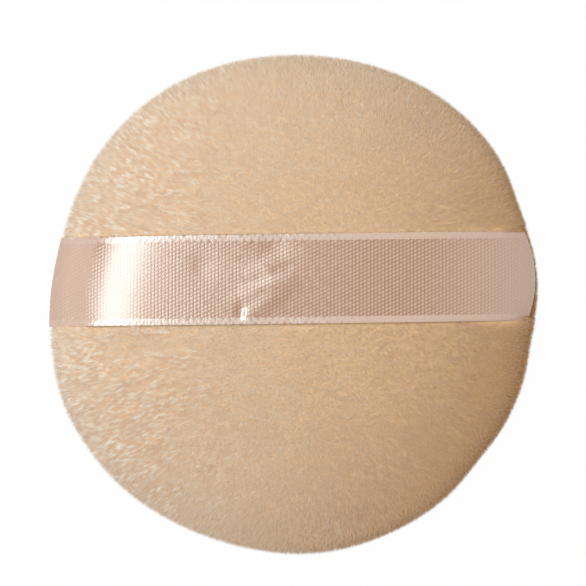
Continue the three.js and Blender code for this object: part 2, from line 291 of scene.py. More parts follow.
class PuffColours(bpy.types.PropertyGroup):
    """Colours of the puff's finishes"""

    # Painted shade: the reddest tufts stand at the rim on the side away from the light
    velour_red_shade: colour("Red velour", "Reddest tufts", (0.55, 0.282, 0.088))
    velour: colour("Velour", "Most tufts", (0.63, 0.427, 0.213))
    # Painted sheen: the palest tufts are the pale streaks that catch the light, most on the left
    velour_pale_sheen: colour("Pale velour", "Palest tufts", (0.84, 0.78, 0.645))
    velour_ground: colour("Velour ground", "Cloth under the pile", (0.60, 0.345, 0.105))
    velour_glow: colour("Velour glow", "Light that comes through one side of a tuft", (0.8, 0.77, 0.74))
    # Painted sheen and shade over the weave's own pattern: the floats' crowns lighter, the satin between them
    # darker
    satin: colour("Satin", "Ribbon between the floats", (0.335, 0.20, 0.13))
    satin_float_sheen: colour("Satin float", "Ribbon's floating threads", (0.55, 0.397, 0.31))
    # Painted sheen: the flat, lighter colour where the ribbon turns over each rim
    satin_left_sheen: colour("Left satin", "Ribbon drawn smooth over the left rim", (0.615, 0.455, 0.375))
    satin_right_sheen: colour("Right satin", "Ribbon drawn smooth over the right rim", (0.508, 0.38, 0.313))
    # Painted glint: floats lighter in the slack patch
    satin_slack_glint: colour("Slack satin", "Ribbon's floats where they stand slack", (0.74, 0.615, 0.535))
    satin_edge: colour("Satin edge", "Ribbon's selvedge loops", (0.60, 0.515, 0.46))
    foam: colour("Foam", "Sponge", (0.86, 0.78, 0.64))
    thread: colour("Thread", "Sewing thread", (0.72, 0.56, 0.40))
    floor: colour("Floor", "Studio floor", (0.86, 0.86, 0.86))


def sizes():
    return bpy.context.scene.puff_sizes


def colours():
    return bpy.context.scene.puff_colours


# Shape of the pad


def smooth_step(share):
    share = min(1.0, max(0.0, share))
    return share * share * (3 - 2 * share)


def coming_in(value, start, over):
    """0 up to a start, rising to 1 over a run."""
    return smooth_step((value - start) / over)


def rim_radius(angle):
    """Radius of the lumpy rim at an angle from +X."""
    radius = sizes().rim_radius
    for at, out, spread in RIM_LUMPS:
        away = angle - math.radians(at)
        turn = math.atan2(math.sin(away), math.cos(away))
        radius += out * MM * math.exp(-((turn / math.radians(spread)) ** 2))
    return radius


def dome_point(turn, radius, height, fullness):
    power = 2 / fullness
    return radius * max(0.0, math.cos(turn)) ** power, height * math.sin(turn) ** power


def dome_turn(level, height, fullness):
    return math.asin(min(1.0, level / height) ** (fullness / 2))


def dome_points(radius, height, fullness, low, high, steps):
    """Radius and height along a dome between two levels."""
    first = dome_turn(low, height, fullness)
    last = dome_turn(high, height, fullness)
    turns = [first + (last - first) * i / steps for i in range(steps + 1)]
    points = [dome_point(turn, radius, height, fullness) for turn in turns]
    if high >= height:
        points[-1] = (0.0, height)
    return points


def back_rise():
    """Height of the pile's tips above the seam at the crown."""
    return RIBBON_HIGH.z - sizes().ribbon_thickness / 2 - SEAM


def back_height(x, y):
    """Height of the pile's tips over a point of the plan."""
    fullness = sizes().back_fullness
    share = min(1.0, math.hypot(x, y) / rim_radius(math.atan2(y, x)))
    return SEAM + back_rise() * (1 - share**fullness) ** (1 / fullness)


def across_ribbon(x, y):
    """Where the ribbon's thread over a point of the plan crosses the Y axis."""
    return y - RIBBON_SKEW * x


def under_ribbon(x, y, margin, inset=0.0):
    """1 under the ribbon, falling to 0 over a margin at its edges, or inside them by an inset."""
    past = abs(across_ribbon(x, y) - RIBBON_OFFSET) - sizes().ribbon_width / 2 + inset
    return 1 - smooth_step(past / margin + 0.5)


def ribbon_sink(x, across):
    """How far the ribbon sinks in the pile beside the crease where it turns down on the left."""
    bent = max(0.0, across - RIBBON_OFFSET + CREASE_BEND_FROM)
    past = CREASE_AT + CREASE_BEND * bent * bent - x
    dip = CREASE_DEPTH * math.exp(min(0.0, past) / CREASE_INSIDE)
    turned = 0.5 * (past + math.hypot(past, CREASE_SOFTNESS))
    return (dip + CREASE_FALL * turned) * (1 - smooth_step(past / CREASE_OUTSIDE))


def right_tuck(across):
    """How far the ribbon's right end is drawn in from the rim."""
    share = 2 * (across - RIBBON_OFFSET) / sizes().ribbon_width
    return RIGHT_TUCK + CORNER_TUCK * share * share + UPPER_TUCK * share


# Meshes


def linked(name, data):
    """An object with its data, placed in the scene."""
    made = bpy.data.objects.new(name, data)
    bpy.context.scene.collection.objects.link(made)
    return made


def new_piece(name, bm, material):
    mesh = bpy.data.meshes.new(name)
    bm.to_mesh(mesh)
    bm.free()
    mesh.shade_smooth()
    mesh.materials.append(material)
    return linked(name, mesh)


def spun(points, turns, up=1):
    """A profile of (radius, height) points turned once round Z, its outside drawn upwards, or down for -1.

    Its corners and faces come in a fixed order, so that the pile's random places are the same in each run.
    """
    bm = bmesh.new()
    angles = [up * 2 * math.pi * i / turns for i in range(turns)]
    rings = []
    for radius, height in points:
        if radius < TINY:
            rings.append([bm.verts.new((0, 0, height))] * turns)
        else:
            rings.append([bm.verts.new((radius * math.cos(a), radius * math.sin(a), height)) for a in angles])
    for ring, following in zip(rings, rings[1:]):
        for i in range(turns):
            corners = dict.fromkeys((ring[i - 1], ring[i], following[i], following[i - 1]))
            bm.faces.new(list(corners))
    return bm


def lump(bm):
    """Moves a round shape out and in with the rim's lumps."""
    for vert in bm.verts:
        scale = rim_radius(math.atan2(vert.co.y, vert.co.x)) / sizes().rim_radius
        vert.co.x *= scale
        vert.co.y *= scale


class Side(NamedTuple):
    """One cover: its name and node, which way its crown points, and its dome."""

    name: str
    node: str
    up: int
    rise: float
    flat: float
    fullness: float


def back_side():
    rise = back_rise()
    return Side("back", "back_cover", 1, rise, rise, sizes().back_fullness)


def face_side():
    drop = SEAM - FACE_LOW.z
    return Side("face", "face_cover", -1, drop + sizes().face_press, drop, sizes().face_fullness)


def skin_points(side, inset, steps):
    """The cover's outside from the seam to the crown, below the pile's tips by an inset."""
    s = sizes()
    low = s.seam_gap / 2
    high = side.flat - inset
    points = dome_points(s.rim_radius - inset, side.rise - inset, side.fullness, low, high, steps)
    tucked = []
    for radius, level in points:
        tuck = s.seam_tuck * math.exp(-((level / s.tuck_spread) ** 2))
        tucked.append((max(0.0, radius - tuck), SEAM + side.up * level))
    if side.flat < side.rise:
        edge, level = tucked[-1]
        rings = 5
        tucked += [(edge * (ring / rings), level) for ring in reversed(range(rings))]
    return tucked


def settle(bm, side):
    """Gives a cover its lumps and, on the back, its unevenness and the ribbon's seat."""
    lump(bm)
    if side.up < 0:
        return
    for vert in bm.verts:
        x, y, z = vert.co
        unevenness = noise.noise(vert.co / UNEVEN_WIDTH) * UNEVEN_HEIGHT
        seat = under_ribbon(x, y, SEAT_SOFTNESS, SEAT_INSET)
        sink = SEAT_DEPTH + ribbon_sink(x, across_ribbon(x, y))
        vert.co.z += (unevenness - sink * seat) * coming_in(z, SEAM, UNEVEN_ABOVE_SEAM)
        vert.co.x -= SEAT_DRAW * seat * coming_in(x, *SEAT_DRAW_RUN)


def cover_piece(side, material):
    """The ground cloth of one cover, with its turned-in seam allowance."""
    s = sizes()
    outside = skin_points(side, s.pile_depth, steps=44)
    inner_radius = s.rim_radius - s.pile_depth - s.ground
    inner_rise = side.flat - s.pile_depth - s.ground
    top = s.seam_gap / 2 + s.allowance_thickness
    inside = dome_points(inner_radius, inner_rise, side.fullness, top, inner_rise, steps=16)
    inside = [(radius, SEAM + side.up * level) for radius, level in inside]
    raw_edge = inner_radius - s.allowance
    turned_in = [(raw_edge, SEAM + side.up * top), (raw_edge, SEAM + side.up * s.seam_gap / 2)]
    bm = spun([*inside[::-1], *turned_in, *outside], turns=144, up=side.up)
    settle(bm, side)
    return new_piece(side.name + "_velour", bm, material)


# Nodes


def set_inputs(tree, made, **inputs):
    """Sets or links a node's inputs by name (spaces as _) or by place (_0)."""
    for key, value in inputs.items():
        socket = made.inputs[int(key[1:]) if key[1:].isdigit() else key.replace("_", " ")]
        if isinstance(value, bpy.types.NodeSocket):
            tree.links.new(value, socket)
        else:
            socket.default_value = value


def node(tree, kind, settings=None, **inputs):
    """Adds a node with its options and inputs."""
    made = tree.nodes.new(kind)
    for key, value in (settings or {}).items():
        setattr(made, key, value)
    set_inputs(tree, made, **inputs)
    return made


def new_group(name, kind, inputs, outputs):
    """A node group with named sockets: its tree, what it is given and where it ends."""
    tree = bpy.data.node_groups.new(name, kind)
    for in_out, sockets in (("INPUT", inputs), ("OUTPUT", outputs)):
        for socket, what in sockets.items():
            tree.interface.new_socket(socket, in_out=in_out, socket_type="NodeSocket" + what)
    return tree, tree.nodes.new("NodeGroupInput").outputs, tree.nodes.new("NodeGroupOutput").inputs


def cleared(holder):
    """The empty node tree of a material or a world."""
    holder.use_nodes = True
    holder.node_tree.nodes.clear()
    return holder.node_tree


def split(tree, vector):
    return node(tree, "ShaderNodeSeparateXYZ", Vector=vector).outputs


def joined(tree, x, y, z):
    return node(tree, "ShaderNodeCombineXYZ", X=x, Y=y, Z=z).outputs[0]


def maths(tree, operation, a, b=0.0, c=0.0):
    return node(tree, "ShaderNodeMath", {"operation": operation}, _0=a, _1=b, _2=c).outputs[0]


def times(tree, a, b, plus=0.0):
    return maths(tree, "MULTIPLY_ADD", a, b, plus)


def vectors(tree, operation, a, b=(0, 0, 0)):
    return node(tree, "ShaderNodeVectorMath", {"operation": operation}, _0=a, _1=b).outputs[0]


def scaled(tree, vector, scale):
    return node(tree, "ShaderNodeVectorMath", {"operation": "SCALE"}, _0=vector, Scale=scale).outputs[0]


def spots(tree, place, width, detail):
    """Soft random spots from 0 to 1."""
    return node(tree, "ShaderNodeTexNoise", Vector=place, Scale=1 / width, Detail=detail).outputs[0]


def mixed_colour(tree, share, under, over):
    return node(tree, "ShaderNodeMix", {"data_type": "RGBA"}, Factor=share, _6=under, _7=over).outputs[2]


def mixed_value(tree, share, under, over):
    return node(tree, "ShaderNodeMix", {"data_type": "FLOAT"}, Factor=share, A=under, B=over).outputs[0]


def ramp(tree, factor, stops):
    made = node(tree, "ShaderNodeValToRGB", Fac=factor)
    elements = made.color_ramp.elements
    while len(elements) < len(stops):
        elements.new(0.5)
    for element, (at, shade) in zip(elements, stops):
        element.position = at
        element.color = (*shade, 1)
    return made.outputs["Color"]


# Pile


def strand_object(material):
    """One tuft of pile, a needle of four faces, with its length along V of the bake map."""
    s = sizes()
    bm = bmesh.new()
    bmesh.ops.create_cone(bm, segments=3, radius1=s.strand_width / 2, radius2=0, depth=s.pile, cap_ends=True)
    bmesh.ops.remove_doubles(bm, verts=bm.verts, dist=TINY)
    bmesh.ops.translate(bm, verts=bm.verts, vec=(0, 0, s.pile / 2))
    layer = bm.loops.layers.uv.new(BAKE_MAP)
    for face in bm.faces:
        middle = face.calc_center_median()
        for loop in face.loops:
            place = loop.vert.co
            if middle.z < TUFT_MARGIN * s.pile:
                u = 0.5 + (0.5 - FLANK_INSET) * place.x / s.strand_width
                v = TUFT_MARGIN + TUFT_MARGIN * place.y / s.strand_width
            else:
                ahead = middle.x * place.y > middle.y * place.x
                u = 1 - FLANK_INSET if ahead else FLANK_INSET
                v = TUFT_MARGIN + (1 - 2 * TUFT_MARGIN) * place.z / s.pile
            loop[layer].uv = (u, v)
    return new_piece("strand", bm, material)


def named(tree, name, kind="FLOAT"):
    return node(tree, "GeometryNodeInputNamedAttribute", {"data_type": kind}, Name=name).outputs[0]


def stored(tree, geometry, name, kind, domain, value):
    settings = {"data_type": kind, "domain": domain}
    made = node(tree, "GeometryNodeStoreNamedAttribute", settings, Geometry=geometry, Name=name, Value=value)
    return made.outputs[0]


def tuft_random(tree, given, low, high, shift):
    """A random value for each tuft, from the pile's seed and a shift of it."""
    seed = maths(tree, "ADD", given["Seed"], shift)
    made = node(tree, "FunctionNodeRandomValue", {"data_type": "FLOAT"}, _2=low, _3=high, Seed=seed)
    return made.outputs[1]


def tuft_points(tree, given):
    """Random places for the tufts of one zone, denser or thinner with the pile's cover."""
    zone = node(tree, "FunctionNodeCompare", {"data_type": "INT", "operation": "EQUAL"},
                _2=named(tree, "zone", "INT"), _3=given["Zone"])
    density = times(tree, given["Density"], named(tree, "cover"))
    return node(tree, "GeometryNodeDistributePointsOnFaces", {"distribute_method": "RANDOM"},
                Mesh=given["Geometry"], Selection=zone.outputs[0], Density=density,
                Seed=given["Seed"]).outputs


def streak_place(tree):
    """A tuft's place, drawn out along X and fanned out towards the left."""
    at = split(tree, node(tree, "GeometryNodeInputPosition").outputs[0])
    drawn = times(tree, at["X"], DRAWN_OUT)
    fanned = times(tree, at["Y"], times(tree, at["X"], FAN, 1.0))
    return joined(tree, drawn, fanned, at["Z"])


def tuft_straying(tree, given, streak):
    """How each tuft strays from the lay: in clumps where the pile is ruffled, and by itself."""
    clump = node(tree, "ShaderNodeTexNoise", Vector=streak, Scale=1 / CLUMP_WIDTH, Detail=3.0)
    sway = vectors(tree, "SUBTRACT", clump.outputs["Color"], (0.5, 0.5, 0.5))
    sway = scaled(tree, sway, named(tree, "ruffle"))
    own = [tuft_random(tree, given, -TUFT_STRAY, TUFT_STRAY, shift) for shift in (1, 2, 3)]
    return vectors(tree, "ADD", sway, joined(tree, *own))


def tuft_shading(tree, lay, straying, upright):
    """Each tuft's normal: the cloth's own, turned by the tuft's flank and straying, and lifted."""
    along = vectors(tree, "NORMALIZE", lay)
    leaning = node(tree, "ShaderNodeVectorMath", {"operation": "DOT_PRODUCT"}, _0=along, _1=upright)
    flank = vectors(tree, "SUBTRACT", upright, scaled(tree, along, leaning.outputs["Value"]))
    soft = vectors(tree, "ADD", upright, scaled(tree, flank, FLANK_SHADE))
    soft = vectors(tree, "ADD", soft, scaled(tree, straying, STRAY_SHADE))
    return vectors(tree, "ADD", soft, SHADE_LIFT)


def tuft_tint(tree, given, streak):
    """Each tuft's tint: its ground's, which holds painted shade at the rim, with patches of streaks whose
    paler tufts are painted sheen, and a share of its own.
    """
    patches = times(tree, spots(tree, streak, PATCH_WIDTH, 1.0), *PATCH_STRENGTH)
    patches = times(tree, named(tree, "ruffle"), patches)
    streaks = maths(tree, "SUBTRACT", spots(tree, streak, STREAK_WIDTH, 1.0), 0.5)
    paler = times(tree, streaks, patches)
    tint = times(tree, paler, STREAK_TONE_AND_SHEEN, named(tree, "pale"))
    tint = maths(tree, "ADD", tint, tuft_random(tree, given, -TUFT_TINT, TUFT_TINT, 6))
    return node(tree, "ShaderNodeClamp", Value=tint).outputs[0]


def standing_tufts(tree, given, points, lay):
    """Real tufts on the points, along the lay, each turned round itself and of its own height."""
    aligned = node(tree, "FunctionNodeAlignRotationToVector", {"axis": "Z"}, Vector=lay).outputs[0]
    turn = tuft_random(tree, given, 0, 2 * math.pi, 4)
    spin = node(tree, "FunctionNodeAxisAngleToRotation", Axis=(0, 0, 1), Angle=turn).outputs[0]
    local = {"rotation_space": "LOCAL"}
    turned = node(tree, "FunctionNodeRotateRotation", local, Rotation=aligned, Rotate_By=spin).outputs[0]
    tall = times(tree, named(tree, "tall"), tuft_random(tree, given, *TUFT_HEIGHTS, 5))
    scale = joined(tree, 1.0, 1.0, tall)
    strand = node(tree, "GeometryNodeObjectInfo", Object=given["Strand"]).outputs["Geometry"]
    stood = node(tree, "GeometryNodeInstanceOnPoints", Points=points, Instance=strand, Rotation=turned,
                 Scale=scale).outputs[0]
    return node(tree, "GeometryNodeRealizeInstances", Geometry=stood).outputs[0]


def place_on_map(tree):
    """A tuft's column of the bake map, which goes by its tint."""
    on_strand = split(tree, named(tree, BAKE_MAP, "FLOAT_VECTOR"))
    column = times(tree, named(tree, "tint"), 1 - TUFT_COLUMN)
    across = times(tree, on_strand["X"], TUFT_COLUMN, column)
    return joined(tree, across, on_strand["Y"], 0.0)


def pile_group():
    """Geometry nodes that stand tufts on a cover, each with its own tint."""
    inputs = {"Geometry": "Geometry", "Strand": "Object", "Density": "Float", "Zone": "Int", "Seed": "Int"}
    tree, given, end = new_group("Velour pile", "GeometryNodeTree", inputs, {"Geometry": "Geometry"})
    points = tuft_points(tree, given)
    streak = streak_place(tree)
    straying = tuft_straying(tree, given, streak)
    lay = vectors(tree, "ADD", named(tree, "lay", "FLOAT_VECTOR"), straying)
    soft = tuft_shading(tree, lay, straying, points["Normal"])
    tint = tuft_tint(tree, given, streak)
    marked = stored(tree, points["Points"], "tint", "FLOAT", "POINT", tint)
    marked = stored(tree, marked, "soft", "FLOAT_VECTOR", "POINT", soft)
    tufts = standing_tufts(tree, given, marked, lay)
    tufts = stored(tree, tufts, BAKE_MAP, "FLOAT2", "CORNER", place_on_map(tree))
    softened = node(tree, "GeometryNodeSetMeshNormal", {"mode": "FREE", "domain": "POINT"}, Mesh=tufts,
                    Custom_Normal=named(tree, "soft", "FLOAT_VECTOR"))
    tree.links.new(softened.outputs[0], end["Geometry"])
    return tree


def pile_ground(side):
    """The skin that one cover's pile stands on, marked with the pile's lay, height, cover, tint with its
    painted shade, and zone.
    """
    s = sizes()
    on_back = side.up > 0
    bm = spun(skin_points(side, s.pile_depth, steps=56), turns=168, up=side.up)
    settle(bm, side)
    bm.normal_update()
    lay = bm.verts.layers.float_vector.new("lay")
    tall, cover, ruffle, pale = map(bm.verts.layers.float.new, ("tall", "cover", "ruffle", "pale"))
    zone = bm.faces.layers.int.new("zone")
    for vert in bm.verts:
        x, y, z = vert.co
        pressed = under_ribbon(x, y, PRESSED_SOFTNESS) if on_back else 0.0
        beside = under_ribbon(x, y, RIBBON_LEAN_OVER) if on_back else 0.0
        gathered = under_ribbon(x, y, GATHERED_SOFTNESS) * coming_in(x, *GATHERED_RUN)
        outward = Vector((x, y, 0)) * (RIM_LEAN / s.rim_radius)
        away = math.copysign(RIBBON_LEAN * beside, across_ribbon(x, y) - RIBBON_OFFSET)
        vert[lay] = vert.normal + outward + COMBED_LEAN + Vector((0.0, away, 0.0))
        room = 1.0 if on_back else z / (s.pile * max(LEAST_REACH, -vert.normal.z))
        vert[tall] = min(1.0, room) * (1 - PRESSED_SHORTER * pressed) * (1 - GATHERED_SHORTER * gathered)
        vert[cover] = 1 - PRESSED_THINNER * pressed + gathered
        to_left = coming_in(x, *LEFT_RUN)
        vert[ruffle] = RUFFLE + LEFT_RUFFLE * to_left
        # Painted shade: the ground's tint falls towards the reddest at the rim on the side away from the
        # light
        plan = Vector((x, y))
        to_rim = coming_in(plan.length / s.rim_radius, *RIM_SHADE_RUN)
        to_shaded_side = to_rim * max(0.0, plan.dot(SHADED_SIDE)) / max(plan.length, MM)
        vert[pale] = MOST_TINT - LEFT_REDDER * to_left - RIM_SHADE * to_shaded_side
    for face in bm.faces:
        middle = face.calc_center_median()
        face[zone] = int((math.atan2(middle.y, middle.x) / (2 * math.pi) + 0.5) * ZONES) % ZONES
    return bm


def pile_pieces(side, strand, group, density, material):
    """The pile of one cover, as one piece for each zone round the puff."""
    pieces = []
    for zone in range(ZONES):
        name = f"{side.name}_pile_{zone + 1}"
        piece = new_piece(name, pile_ground(side), material)
        modifier = piece.modifiers.new("pile", "NODES")
        modifier.node_group = group
        seed = sizes().seed + 10 * zone + 100 * (side.up > 0)
        values = {"Strand": strand, "Density": density / MM**2, "Zone": zone, "Seed": seed}
        for item in group.interface.items_tree:
            if item.in_out == "INPUT" and item.name in values:
                modifier[item.identifier] = values[item.name]
        piece.update_tag()
        graph = bpy.context.evaluated_depsgraph_get()
        evaluated = piece.evaluated_get(graph)
        mesh = bpy.data.meshes.new_from_object(evaluated, preserve_all_data_layers=True, depsgraph=graph)
        piece.modifiers.clear()
        piece.data = mesh
        mesh.name = name
        mesh.materials.clear()
        mesh.materials.append(material)
        pieces.append(piece)
    return pieces


# Materials


def new_material(name, glow=None):
    """A material with one shader. A glow lets lamps shine through it, tinted, as fine fibres do."""
    material = bpy.data.materials.new(name)
    tree = cleared(material)
    shader = tree.nodes.new("ShaderNodeBsdfPrincipled")
    surface = shader.outputs[0]
    if glow is not None:
        lit = node(tree, "ShaderNodeLightPath").outputs["Is Shadow Ray"]
        clear = node(tree, "ShaderNodeBsdfTransparent", Color=(*glow, 1)).outputs[0]
        surface = node(tree, "ShaderNodeMixShader", Fac=lit, _1=surface, _2=clear).outputs[0]
    node(tree, "ShaderNodeOutputMaterial", Surface=surface)
    return material, tree, shader


def darker(shade, share):
    return [share * value for value in shade]


def set_finish(tree, shader, shade, height, strength, distance, **finish):
    """Gives a shader its colour, a fine relief and its other inputs."""
    relief = node(tree, "ShaderNodeBump", Strength=strength, Distance=distance, Height=height).outputs[0]
    set_inputs(tree, shader, Base_Color=shade, Normal=relief, **finish)


def fibre_tint_group():
    """Darkens and lightens a colour from one fibre to the next."""
    inputs = {"Colour": "Color", "Place": "Vector", "Fineness": "Float", "Amount": "Float"}
    tree, given, end = new_group("Fibre tint", "ShaderNodeTree", inputs, {"Colour": "Color"})
    grain = node(tree, "ShaderNodeTexNoise", Vector=given["Place"], Scale=given["Fineness"], Detail=3.0,
                 Roughness=0.6).outputs[0]
    change = times(tree, maths(tree, "SUBTRACT", grain, 0.5), given["Amount"], 1.0)
    tree.links.new(scaled(tree, given["Colour"], change), end["Colour"])
    return tree


def fibre_tint(tree, shade, place, width, amount):
    """A colour with fibres of a width tinted apart."""
    group = bpy.data.node_groups.get("Fibre tint") or fibre_tint_group()
    return node(tree, "ShaderNodeGroup", {"node_tree": group}, Colour=shade, Place=place, Fineness=1 / width,
                Amount=amount).outputs[0]


def velour_ground_material():
    c = colours()
    material, tree, shader = new_material("velour ground")
    place = node(tree, "ShaderNodeTexCoord").outputs["Object"]
    cells = spots(tree, place, 0.25 * MM, 2.0)
    shade = ramp(tree, cells, ((0.3, darker(c.velour_ground, 0.9)), (0.62, c.velour_ground)))
    shade = fibre_tint(tree, shade, place, 4 * MM, 0.25)
    set_finish(tree, shader, shade, cells, strength=0.12, distance=0.08 * MM, **VELOUR_GLOSS)
    return material


def velour_pile_material():
    c = colours()
    material, tree, shader = new_material("velour pile", c.velour_glow)
    on_strand = split(tree, node(tree, "ShaderNodeUVMap", {"uv_map": BAKE_MAP}).outputs[0])
    # Painted sheen in the palest, streaked tufts, and painted shade in the reddest ones at the rim away from
    # the light
    shade = ramp(tree, on_strand["X"], ((0.0, c.velour_red_shade), (MOST_TINT, c.velour), (1.0, c.velour_pale_sheen)))
    # Painted shade: each tuft darker at its root, deep in the pile, and lighter at its tip
    lighter = node(tree, "ShaderNodeMapRange", Value=on_strand["Y"], To_Min=0.92, To_Max=1.08).outputs[0]
    set_inputs(tree, shader, Base_Color=scaled(tree, shade, lighter), **VELOUR_GLOSS)
    return material


def crown(tree, share, power):
    """1 half way through each whole step of a share, falling to 0 at its ends."""
    wave = maths(tree, "ABSOLUTE", maths(tree, "SINE", times(tree, share, math.pi)))
    return maths(tree, "POWER", wave, power)


def share_of(tree, value, full, none):
    """1 from one value on, falling to 0 at another."""
    return node(tree, "ShaderNodeMapRange", Value=value, From_Min=none, From_Max=full).outputs[0]


def edge_loops(tree, depth, picks, uneven):
    """Height of the threads that zigzag along the ribbon's edges."""
    turns = maths(tree, "PINGPONG", times(tree, uneven, LOOP_SHIFT, picks), 1.0)
    aside = maths(tree, "ABSOLUTE", maths(tree, "SUBTRACT", turns, depth))
    loops = maths(tree, "MAXIMUM", times(tree, aside, -1 / LOOP_REACH, 1.0), 0.0)
    loops = times(tree, loops, *LOOP_RELIEF)
    return times(tree, loops, times(tree, uneven, *LOOP_SPOTS))


def painted_glint_patch(tree, at):
    """1 in the middle of the ribbon's slack patch, where its floats are painted with a glint, falling to 0 at
    its edge.
    """
    x = maths(tree, "SUBTRACT", at["X"], SLACK_AT[0])
    y = maths(tree, "SUBTRACT", at["Y"], SLACK_AT[1])
    lean, climb = math.cos(SLACK_TURN), math.sin(SLACK_TURN)
    lengthwise = times(tree, x, lean, times(tree, y, climb))
    sideways = times(tree, y, lean, times(tree, x, -climb))
    far = maths(tree, "POWER", maths(tree, "DIVIDE", lengthwise, SLACK_REACH[0]), 2.0)
    wide = maths(tree, "POWER", maths(tree, "DIVIDE", sideways, SLACK_REACH[1]), 2.0)
    return maths(tree, "MAXIMUM", maths(tree, "SUBTRACT", 1.0, maths(tree, "ADD", far, wide)), 0.0)


def satin_weave_group():
    """Masks of a satin ribbon: its floats, its edges, its painted sheen over each rim and its painted glint
    where it is slack.
    """
    measures = dict.fromkeys(("Pick", "Row", "Slant", "Ribbon width", "Selvedge"), "Float")
    outputs = dict.fromkeys(("Float", "Edge", "Loop", "Left", "Right", "Slack"), "Float")
    tree, given, end = new_group("Satin weave", "ShaderNodeTree", {"Place": "Vector", **measures}, outputs)
    at = split(tree, given["Place"])
    uneven = spots(tree, given["Place"], SPOT_WIDTH, 2.0)
    picks = maths(tree, "DIVIDE", at["X"], given["Pick"])
    climb = times(tree, at["X"], given["Slant"])
    rows = maths(tree, "DIVIDE", maths(tree, "SUBTRACT", at["Y"], climb), given["Row"])
    floats = times(tree, crown(tree, picks, FLOAT_POWERS[0]), crown(tree, rows, FLOAT_POWERS[1]))
    floats = times(tree, floats, times(tree, uneven, *FLOAT_SPOTS))
    from_edge = maths(tree, "MINIMUM", at["Y"], maths(tree, "SUBTRACT", given["Ribbon width"], at["Y"]))
    depth = maths(tree, "DIVIDE", from_edge, given["Selvedge"])
    calm = times(tree, share_of(tree, at["X"], *CALM_RIGHT), CALMNESS)
    slack = share_of(tree, spots(tree, given["Place"], SLACK_SPOT_WIDTH, 2.0), *SLACK_SPOTS)
    slack = times(tree, painted_glint_patch(tree, at), slack)
    masks = {
        "Float": floats,
        "Edge": maths(tree, "LESS_THAN", depth, 1.0),
        "Loop": mixed_value(tree, calm, edge_loops(tree, depth, picks, uneven), CALM_LOOP),
        "Left": times(tree, share_of(tree, at["X"], *LEFT_SHEEN_RUN), LEFT_SHEEN_SHARE),
        "Right": share_of(tree, at["X"], *RIGHT_SHEEN_RUN),
        "Slack": times(tree, slack, floats),
    }
    for name, value in masks.items():
        tree.links.new(value, end[name])
    return tree


def satin_material():
    c, s = colours(), sizes()
    material, tree, shader = new_material("satin ribbon")
    place = node(tree, "ShaderNodeUVMap", {"uv_map": "weave"}).outputs[0]
    weave = node(tree, "ShaderNodeGroup", {"node_tree": satin_weave_group()}, Place=place, Pick=s.pick,
                 Row=s.row, Slant=ROW_SLANT, Ribbon_width=s.ribbon_width, Selvedge=s.selvedge).outputs
    # Painted sheen and shade: the floats' crowns lighter and the satin between them darker, over the weave's
    # own pattern
    body = ramp(tree, weave["Float"], ((0.15, c.satin), (0.85, c.satin_float_sheen)))
    edge = ramp(tree, weave["Loop"], ((0.15, c.satin), (0.5, c.satin_float_sheen), (0.95, c.satin_edge)))
    shade = mixed_colour(tree, weave["Edge"], body, edge)
    # Painted sheen over each rim, and a painted glint where the ribbon is slack
    for name, over in (("Slack", c.satin_slack_glint), ("Left", c.satin_left_sheen), ("Right", c.satin_right_sheen)):
        shade = mixed_colour(tree, weave[name], shade, (*over, 1))
    shade = fibre_tint(tree, shade, place, 0.4 * MM, 0.12)
    height = mixed_value(tree, weave["Edge"], weave["Float"], weave["Loop"])
    set_finish(tree, shader, shade, height, strength=0.85, distance=0.05 * MM, Roughness=0.27,
               Specular_IOR_Level=0.034, Coat_Weight=0.065, Coat_Roughness=0.2)
    return material


def foam_material():
    c = colours()
    material, tree, shader = new_material("sponge")
    place = node(tree, "ShaderNodeTexCoord").outputs["Object"]
    pores = node(tree, "ShaderNodeTexVoronoi", Vector=place, Scale=1 / sizes().foam_cell).outputs["Distance"]
    # Painted shade: the sponge darker in its pores
    shade = ramp(tree, pores, ((0.1, darker(c.foam, 0.62)), (0.5, c.foam)))
    shade = fibre_tint(tree, shade, place, 6 * MM, 0.15)
    set_finish(tree, shader, shade, pores, strength=0.7, distance=0.3 * MM, Roughness=0.9)
    return material


def thread_material():
    c = colours()
    material, tree, shader = new_material("spun thread")
    place = node(tree, "ShaderNodeTexCoord").outputs["Object"]
    plies = node(tree, "ShaderNodeTexWave", {"bands_direction": "DIAGONAL"}, Vector=place,
                 Scale=1 / (1.4 * MM), Distortion=1.0).outputs[0]
    # Painted shade: the thread darker in the grooves between its plies
    shade = ramp(tree, plies, ((0.2, darker(c.thread, 0.7)), (0.8, c.thread)))
    shade = fibre_tint(tree, shade, place, 0.3 * MM, 0.2)
    set_finish(tree, shader, shade, plies, strength=0.5, distance=0.06 * MM, Roughness=0.75)
    return material


# Ribbon


def rim_reach(across, side, rounds=5):
    """The rim's distance from the Y axis where a thread of the ribbon meets it, on one side."""
    x = side * sizes().rim_radius
    for _ in range(rounds):
        y = across + RIBBON_SKEW * x
        x = side * math.sqrt(rim_radius(math.atan2(y, x)) ** 2 - y * y)
    return abs(x)


